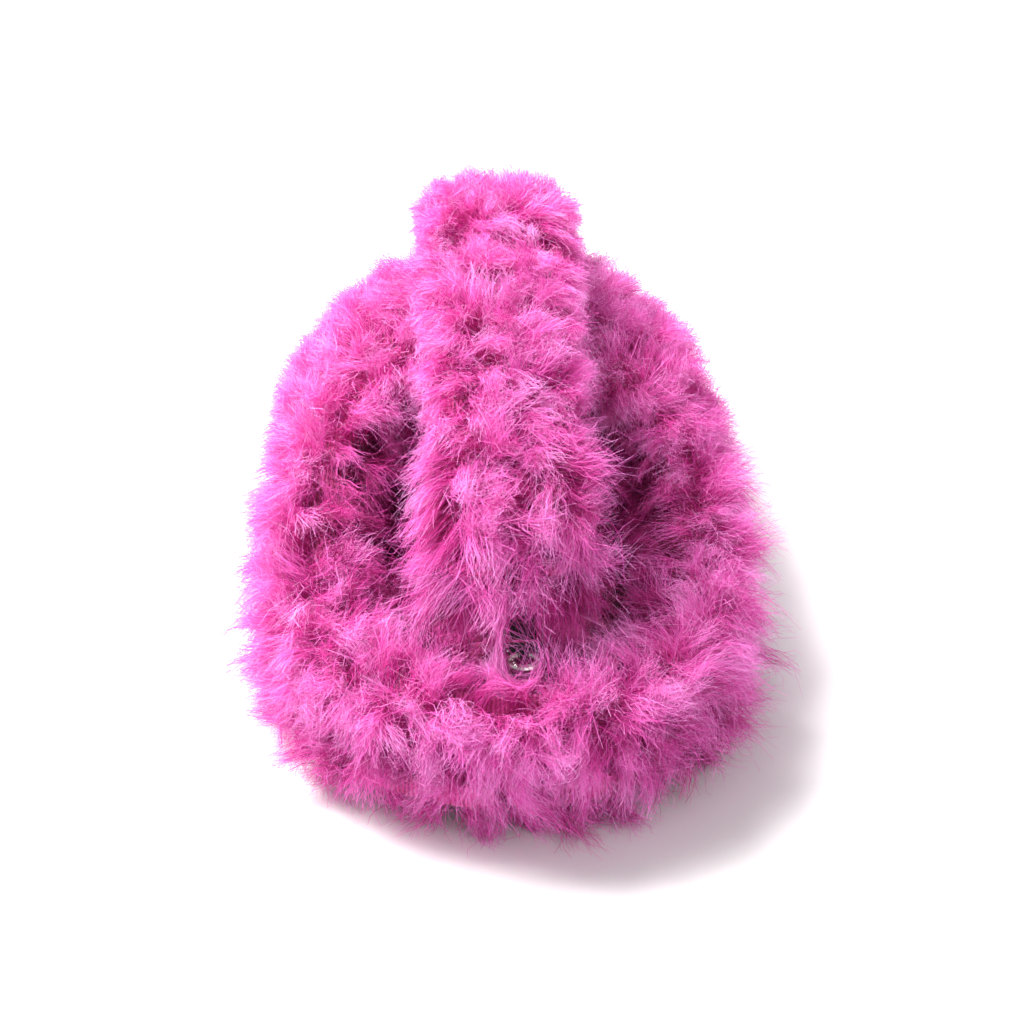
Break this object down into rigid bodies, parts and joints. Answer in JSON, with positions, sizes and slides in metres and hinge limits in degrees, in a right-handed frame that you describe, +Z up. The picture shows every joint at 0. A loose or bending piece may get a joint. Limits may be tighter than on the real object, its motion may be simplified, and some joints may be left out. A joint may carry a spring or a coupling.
{
  "type": "fluffy house slipper",
  "caption": "Closed-toe long-pile house slipper with a padded fur collar and a wide fur strap that arches lengthwise over the foot opening to a press stud at the heel.",
  "frame": {"origin": "on the floor, under the middle of the slipper's box", "axes": "+Y from heel to toe, +X to the side, +Z up"},
  "size_m": [0.1466, 0.2808, 0.1087],
  "materials": {
    "rubber": "matt moulded rubber",
    "eva": "foamed EVA, matt",
    "board": "pressed fibre board, bare",
    "foam": "open-cell foam",
    "pile": "long curly faux-fur pile, matt with a soft shine",
    "canvas": "plain woven interlining",
    "stiffener": "thermoplastic stiffener sheet",
    "webbing": "black woven webbing",
    "knit": "ribbed knitted backing of the fur",
    "steel": "polished nickel-plated steel"
  },
  "bodies": {
    "slipper": {"outsole": "rubber", "midsole": "eva", "sole_rand": "rubber", "insole_board": "board", "footbed_foam": "foam", "sock_liner": "pile", "upper_interlining": "canvas", "toe_puff": "stiffener", "heel_counter": "stiffener", "upper_padding": "foam", "vamp_lining": "pile", "quarter_lining": "pile", "quarter_fur_right": "pile", "quarter_fur_left": "pile", "vamp_fur": "pile", "collar_fur": "pile", "front_strap_fur": "pile", "front_strap_pad": "foam", "front_strap_webbing": "webbing", "snap_stud": "steel", "snap_eyelet": "steel", "heel_tongue": "webbing"},
    "strap": {"strap_fur": "pile", "strap_pad": "foam", "strap_webbing": "webbing", "strap_backing": "knit", "strap_end_loop": "webbing", "loop_ring": "steel"},
    "snap": {"snap_tab": "webbing", "snap_cap": "steel", "snap_socket": "steel"}
  },
  "joints": [
    {"name": "strap_lift", "type": "hinge", "parent": "slipper", "child": "strap", "pos_m": [0, 0.02365, 0.09231], "axis": [-1, 0, 0], "range_deg": [0, 85]},
    {"name": "snap_tab_lift", "type": "hinge", "parent": "strap", "child": "snap", "pos_m": [0.0044, -0.0905, 0.034], "axis": [-1, 0, 0], "range_deg": [0, 40]}
  ]
}
